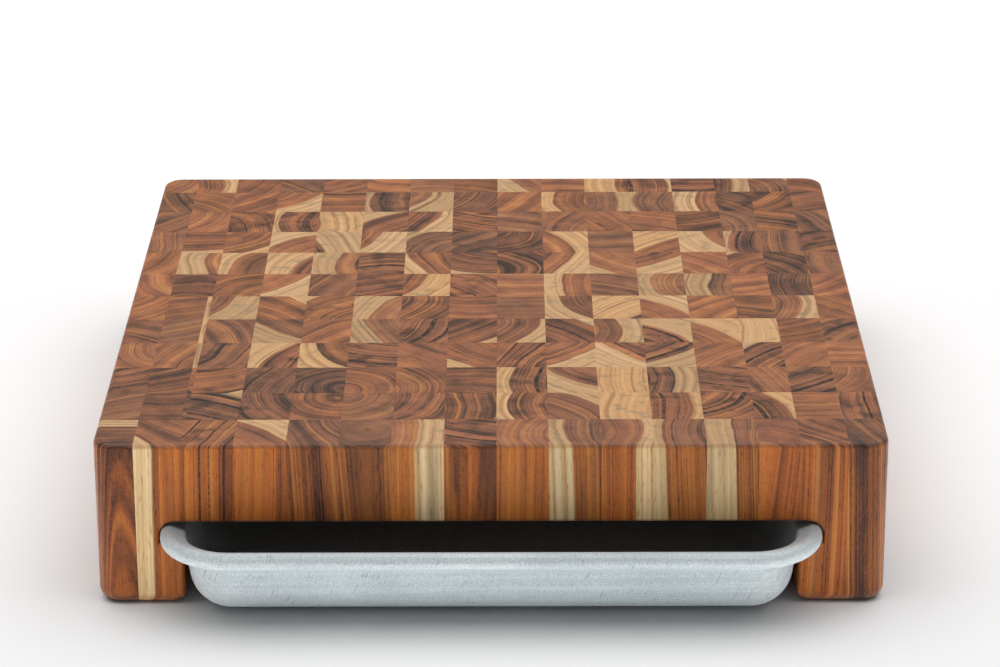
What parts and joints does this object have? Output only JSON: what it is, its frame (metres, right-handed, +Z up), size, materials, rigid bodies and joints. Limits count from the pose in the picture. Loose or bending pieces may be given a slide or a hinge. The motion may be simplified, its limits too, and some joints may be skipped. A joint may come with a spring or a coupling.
{
  "type": "cutting board with a slide-out pan",
  "caption": "End-grain wood cutting board on two legs, bridging a rolled-rim metal sheet pan that slides out on ledges like a drawer.",
  "frame": {"origin": "on the table, under the middle of the whole object's box with the pan pushed in as the picture shows it", "axes": "+Z up, +X to the right, -Y towards the cook, which is also the way the pan slides out"},
  "size_m": [0.289, 0.332, 0.0635],
  "materials": {
    "teak_end_grain": "oiled end grain, satin",
    "pan_aluminium": "satin, lightly scratched",
    "rim_steel": "bright drawn wire"
  },
  "bodies": {
    "board": {"filler_strips": "teak_end_grain", "left_leg_row_01": "teak_end_grain", "left_leg_row_02": "teak_end_grain", "left_leg_row_03": "teak_end_grain", "left_leg_row_04": "teak_end_grain", "left_leg_row_05": "teak_end_grain", "left_leg_row_06": "teak_end_grain", "left_leg_row_07": "teak_end_grain", "left_leg_row_08": "teak_end_grain", "left_leg_row_09": "teak_end_grain", "left_leg_row_10": "teak_end_grain", "left_leg_row_11": "teak_end_grain", "left_leg_row_12": "teak_end_grain", "right_leg_row_01": "teak_end_grain", "right_leg_row_02": "teak_end_grain", "right_leg_row_03": "teak_end_grain", "right_leg_row_04": "teak_end_grain", "right_leg_row_05": "teak_end_grain", "right_leg_row_06": "teak_end_grain", "right_leg_row_07": "teak_end_grain", "right_leg_row_08": "teak_end_grain", "right_leg_row_09": "teak_end_grain", "right_leg_row_10": "teak_end_grain", "right_leg_row_11": "teak_end_grain", "right_leg_row_12": "teak_end_grain", "slab_row_01": "teak_end_grain", "slab_row_02": "teak_end_grain", "slab_row_03": "teak_end_grain", "slab_row_04": "teak_end_grain", "slab_row_05": "teak_end_grain", "slab_row_06": "teak_end_grain", "slab_row_07": "teak_end_grain", "slab_row_08": "teak_end_grain", "slab_row_09": "teak_end_grain", "slab_row_10": "teak_end_grain", "slab_row_11": "teak_end_grain", "slab_row_12": "teak_end_grain"},
    "tray": {"tray_pan": "pan_aluminium", "rim_wire": "rim_steel"}
  },
  "joints": [
    {"name": "tray_slide", "type": "slide", "parent": "board", "child": "tray", "axis": [0, -1, 0], "range_m": [-0.027, 0.3]}
  ]
}
